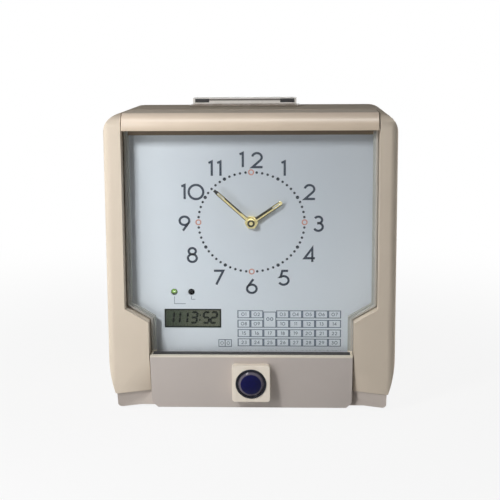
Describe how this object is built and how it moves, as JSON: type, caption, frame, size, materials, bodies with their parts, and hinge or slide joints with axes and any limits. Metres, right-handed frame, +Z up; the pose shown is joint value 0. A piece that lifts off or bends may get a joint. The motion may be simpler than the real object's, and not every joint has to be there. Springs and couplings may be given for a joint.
{
  "type": "punch card time clock",
  "caption": "Table or wall time recorder with an analogue dial behind a lift-up windowed cover, a push catch, and a card printer under a top throat.",
  "frame": {"origin": "on the ground below the middle of the clock's box", "axes": "+Z up, +X to the right seen from the dial, the dial faces -Y"},
  "size_m": [0.25, 0.159, 0.269],
  "materials": {
    "case_plastic": "fine-textured warm beige moulding",
    "cover_plastic": "fine-textured warm beige moulding, satin",
    "boss_plastic": "satin pale beige moulding",
    "window_clear": "clear polished acrylic",
    "throat_white": "translucent white moulding",
    "black_plastic": "matt black moulding",
    "foot_rubber": "matt black rubber",
    "roller_rubber": "ground black rubber",
    "steel": "bright zinc-plated steel",
    "zinc_sheet": "folded zinc-plated sheet",
    "ring_metal": "dark bright trim ring",
    "button_blue": "deep blue polished dome",
    "dial_face": "pale blue-grey satin paint with printed numerals",
    "hand_gold": "polished gold-coloured plate",
    "gear_brass": "machined brass",
    "gear_nylon": "natural nylon",
    "movement_plastic": "black moulding",
    "board_green": "green solder mask",
    "lcd_glass": "grey-green liquid crystal display",
    "lamp_green": "green diffused lens",
    "lamp_dark": "dark smoked lens",
    "motor_can": "dull grey steel can",
    "mech_plastic": "dark grey moulding",
    "head_black": "black finned casting",
    "pulley_metal": "turned aluminium",
    "belt_rubber": "black toothed belt",
    "ribbon_fabric": "inked woven band",
    "chip_black": "black encapsulant",
    "battery_wrap": "green shrink sleeve",
    "transformer_iron": "varnished laminations with a taped winding"
  },
  "bodies": {
    "housing": {"main_case": "case_plastic", "rear_panel": "case_plastic", "base_tray": "case_plastic", "card_throat": "throat_white", "throat_pads": "black_plastic", "rubber_feet": "foot_rubber", "mains_gland": "foot_rubber", "platen": "roller_rubber", "hinge_pins": "steel", "rear_screws": "steel", "dial_screws": "steel", "mech_screws": "steel", "carriage_rails": "steel", "strike_plate": "steel", "mech_plates": "zinc_sheet", "chute_front": "zinc_sheet", "chute_rear": "zinc_sheet", "idler_bracket": "zinc_sheet", "dial_plate": "dial_face", "movement_nut": "hand_gold", "movement_case": "movement_plastic", "movement_back": "movement_plastic", "display_board": "board_green", "main_board": "board_green", "lcd_module": "lcd_glass", "power_lamp": "lamp_green", "signal_lamp": "lamp_dark", "feed_motor": "motor_can", "carriage_motor": "motor_can", "ribbon_cassette": "mech_plastic", "carriage_belt": "belt_rubber", "ribbon_band": "ribbon_fabric", "board_parts": "chip_black", "backup_battery": "battery_wrap", "transformer": "transformer_iron"},
    "cover": {"cover_frame": "cover_plastic", "cover_window": "window_clear", "catch_boss": "boss_plastic", "catch_ring": "ring_metal", "catch_spring": "steel"},
    "button": {"catch_button": "button_blue"},
    "minute_arbor": {"minute_hand": "hand_gold", "hand_cap": "hand_gold", "cannon_pinion": "gear_brass"},
    "hour_pipe": {"hour_hand": "hand_gold", "hour_wheel": "gear_nylon"},
    "minute_wheel": {"minute_wheel": "gear_nylon"},
    "feed_axle": {"feed_shaft": "steel", "feed_rollers": "roller_rubber", "feed_gear": "gear_nylon"},
    "pinch_axle": {"pinch_shaft": "steel", "pinch_rollers": "roller_rubber"},
    "motor_spindle": {"motor_pinion": "gear_brass"},
    "carriage": {"print_carriage": "mech_plastic", "print_head": "head_black"},
    "drive_pulley": {"drive_pulley": "pulley_metal"},
    "idler_pulley": {"idler_pulley": "pulley_metal"},
    "ribbon_knob": {"ribbon_knob": "black_plastic"}
  },
  "joints": [
    {"name": "cover_lift", "type": "hinge", "parent": "housing", "child": "cover", "pos_m": [0, -0.0225, 0.256], "axis": [-1, 0, 0], "range_deg": [0, 80]},
    {"name": "catch_press", "type": "slide", "parent": "cover", "child": "button", "axis": [0, 0.9962, 0.0872], "range_m": [0, 0.005], "stiffness_N_per_m": 300},
    {"name": "minute_turn", "type": "hinge", "parent": "housing", "child": "minute_arbor", "pos_m": [0, -0.0455, 0.1645], "axis": [0, 1, 0], "continuous": true},
    {"name": "hour_turn", "type": "hinge", "parent": "housing", "child": "hour_pipe", "pos_m": [0, -0.0455, 0.1645], "axis": [0, 1, 0], "continuous": true},
    {"name": "minute_wheel_turn", "type": "hinge", "parent": "housing", "child": "minute_wheel", "pos_m": [0, -0.0455, 0.1789], "axis": [0, 1, 0], "continuous": true},
    {"name": "feed_turn", "type": "hinge", "parent": "housing", "child": "feed_axle", "pos_m": [0, 0.05365, 0.1525], "axis": [1, 0, 0], "continuous": true},
    {"name": "pinch_turn", "type": "hinge", "parent": "housing", "child": "pinch_axle", "pos_m": [0, 0.03835, 0.1525], "axis": [1, 0, 0], "continuous": true},
    {"name": "motor_turn", "type": "hinge", "parent": "housing", "child": "motor_spindle", "pos_m": [0, 0.05365, 0.1378], "axis": [1, 0, 0], "continuous": true},
    {"name": "carriage_slide", "type": "slide", "parent": "housing", "child": "carriage", "axis": [1, 0, 0], "range_m": [-0.03, 0.03]},
    {"name": "drive_turn", "type": "hinge", "parent": "housing", "child": "drive_pulley", "pos_m": [0.039, 0.0065, 0.07635], "axis": [0, 1, 0], "range_deg": [-305.2, 305.2]},
    {"name": "idler_turn", "type": "hinge", "parent": "housing", "child": "idler_pulley", "pos_m": [-0.057, 0.0065, 0.07635], "axis": [0, 1, 0], "range_deg": [-305.2, 305.2]},
    {"name": "ribbon_turn", "type": "hinge", "parent": "housing", "child": "ribbon_knob", "pos_m": [0.024, 0.0045, 0.128], "axis": [0, 0, 1], "continuous": true}
  ],
  "couplings": [
    {"joint": "hour_turn", "follows": "minute_turn", "ratio": 0.083333},
    {"joint": "minute_wheel_turn", "follows": "minute_turn", "ratio": -0.33333},
    {"joint": "pinch_turn", "follows": "feed_turn", "ratio": -1.5},
    {"joint": "motor_turn", "follows": "feed_turn", "ratio": -2.5},
    {"joint": "drive_turn", "follows": "carriage_slide", "rad_per_m": 176.99},
    {"joint": "idler_turn", "follows": "carriage_slide", "rad_per_m": 176.99}
  ]
}
